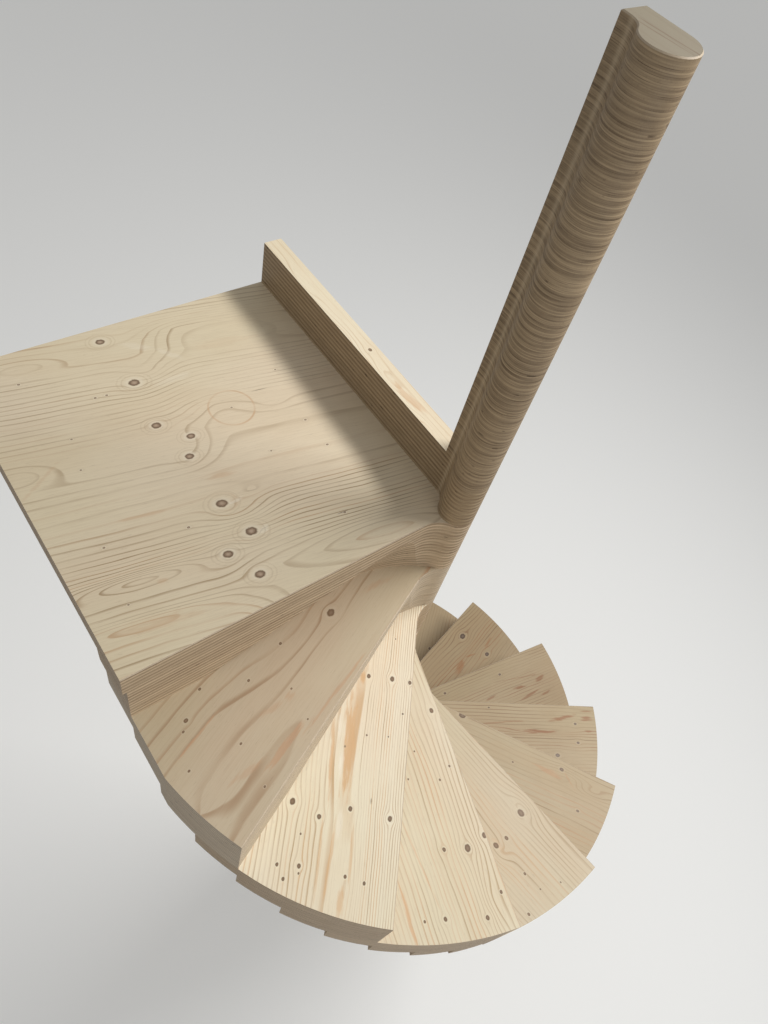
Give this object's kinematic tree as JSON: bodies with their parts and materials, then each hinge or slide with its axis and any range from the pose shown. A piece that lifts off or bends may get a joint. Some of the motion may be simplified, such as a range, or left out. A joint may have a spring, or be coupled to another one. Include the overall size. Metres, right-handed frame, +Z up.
{
  "type": "spiral staircase",
  "caption": "Tight spiral stair of stacked softwood boards: wedge steps that sweep into a slim round newel, a square landing, a low upstand and a tall newel top.",
  "frame": {"origin": "on the newel axis at floor level, in the flat underside of the newel foot", "axes": "+Z up along the newel, +Y from the newel along the upstand to the wall, -X from the newel along the landing's front edge"},
  "size_m": [1.743, 1.799, 3.7],
  "materials": {
    "tread_01": "sanded, unfinished softwood board",
    "tread_02": "sanded, unfinished softwood board",
    "tread_03": "sanded, unfinished softwood board",
    "tread_04": "sanded, unfinished softwood board",
    "tread_05": "sanded, unfinished softwood board",
    "tread_06": "sanded, unfinished softwood board",
    "tread_07": "sanded, unfinished softwood board",
    "tread_08": "sanded, unfinished softwood board",
    "tread_09": "sanded, unfinished softwood board",
    "tread_10": "sanded, unfinished softwood board",
    "tread_11": "sanded, unfinished softwood board",
    "tread_12": "sanded, unfinished softwood board",
    "landing": "sanded, unfinished softwood board",
    "landing_courses": "sanded, unfinished softwood board",
    "upstand": "sanded, unfinished softwood board",
    "newel": "sanded, unfinished softwood board",
    "newel_cap": "sanded, unfinished softwood board"
  },
  "bodies": {
    "root": {"tread_01_top": "tread_01", "tread_01_middle": "tread_01", "tread_01_bottom": "tread_01", "tread_02_top": "tread_02", "tread_02_middle": "tread_02", "tread_02_bottom": "tread_02", "tread_03_top": "tread_03", "tread_03_middle": "tread_03", "tread_03_bottom": "tread_03", "tread_04_top": "tread_04", "tread_04_middle": "tread_04", "tread_04_bottom": "tread_04", "tread_05_top": "tread_05", "tread_05_middle": "tread_05", "tread_05_bottom": "tread_05", "tread_06_top": "tread_06", "tread_06_middle": "tread_06", "tread_06_bottom": "tread_06", "tread_07_top": "tread_07", "tread_07_middle": "tread_07", "tread_07_bottom": "tread_07", "tread_08_top": "tread_08", "tread_08_middle": "tread_08", "tread_08_bottom": "tread_08", "tread_09_top": "tread_09", "tread_09_middle": "tread_09", "tread_09_bottom": "tread_09", "tread_10_top": "tread_10", "tread_10_middle": "tread_10", "tread_10_bottom": "tread_10", "tread_11_top": "tread_11", "tread_11_middle": "tread_11", "tread_11_bottom": "tread_11", "tread_12_top": "tread_12", "tread_12_middle": "tread_12", "tread_12_bottom": "tread_12", "landing_panel": "landing", "landing_middle": "landing_courses", "landing_bottom": "landing_courses", "upstand_lower": "upstand", "upstand_upper": "upstand", "newel_section_1": "newel", "newel_section_2": "newel", "newel_section_3": "newel", "newel_cap": "newel_cap"}
  },
  "joints": []
}
